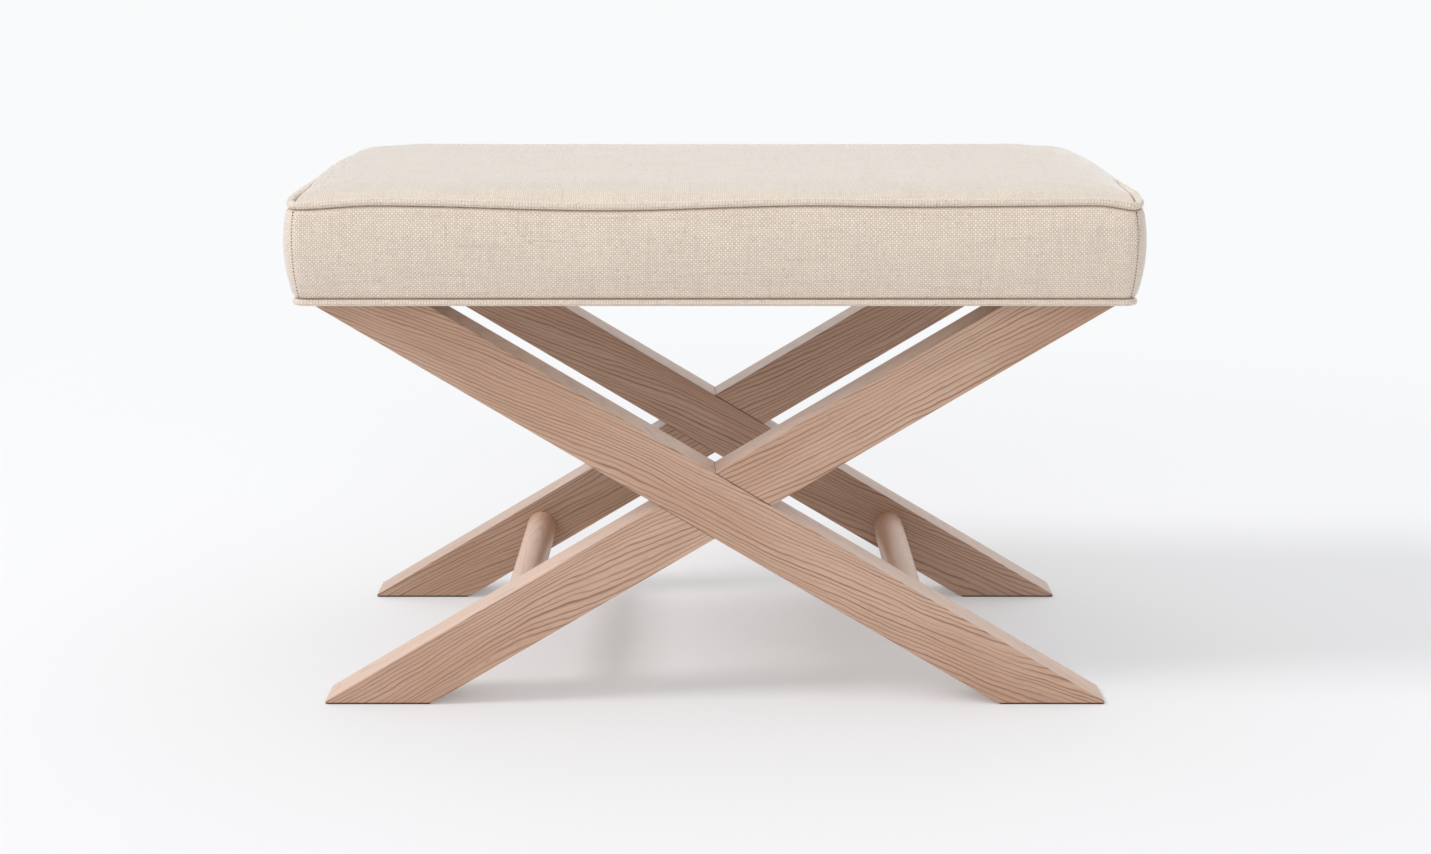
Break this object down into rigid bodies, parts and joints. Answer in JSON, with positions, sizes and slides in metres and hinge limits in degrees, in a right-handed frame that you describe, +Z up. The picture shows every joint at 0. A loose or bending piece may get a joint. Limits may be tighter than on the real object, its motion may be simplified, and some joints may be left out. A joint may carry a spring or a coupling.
{
  "type": "footstool",
  "caption": "Upholstered footstool: a piped box cushion with a crowned top on crossed half-lapped wooden frames tied by round stretchers.",
  "frame": {"origin": "centre of the footprint, on the floor under the foot pads", "axes": "+X along the seat's long side, +Y from the front frame to the rear one, +Z up"},
  "size_m": [0.722, 0.448, 0.4568],
  "materials": {
    "leg_wood": "satin",
    "upholstery": "matte",
    "piping": "matte",
    "piping_cord": "matte",
    "wadding": "matte",
    "foam": "matte",
    "plywood": "matte",
    "dust_cloth": "matte",
    "felt": "matte",
    "zinc_steel": "satin"
  },
  "bodies": {
    "root": {"front_over_leg": "leg_wood", "front_under_leg": "leg_wood", "rear_over_leg": "leg_wood", "rear_under_leg": "leg_wood", "left_stretcher": "leg_wood", "right_stretcher": "leg_wood", "top_panel": "upholstery", "front_boxing": "upholstery", "rear_boxing": "upholstery", "left_boxing": "upholstery", "right_boxing": "upholstery", "top_welt": "piping", "bottom_welt": "piping", "top_welt_cord": "piping_cord", "bottom_welt_cord": "piping_cord", "batting_wrap": "wadding", "foam_core": "foam", "seat_deck": "plywood", "dust_cover": "dust_cloth", "front_left_foot_pad": "felt", "front_right_foot_pad": "felt", "rear_left_foot_pad": "felt", "rear_right_foot_pad": "felt", "leg_bolts": "zinc_steel", "bolt_washers": "zinc_steel", "tee_nuts": "zinc_steel"}
  },
  "joints": []
}
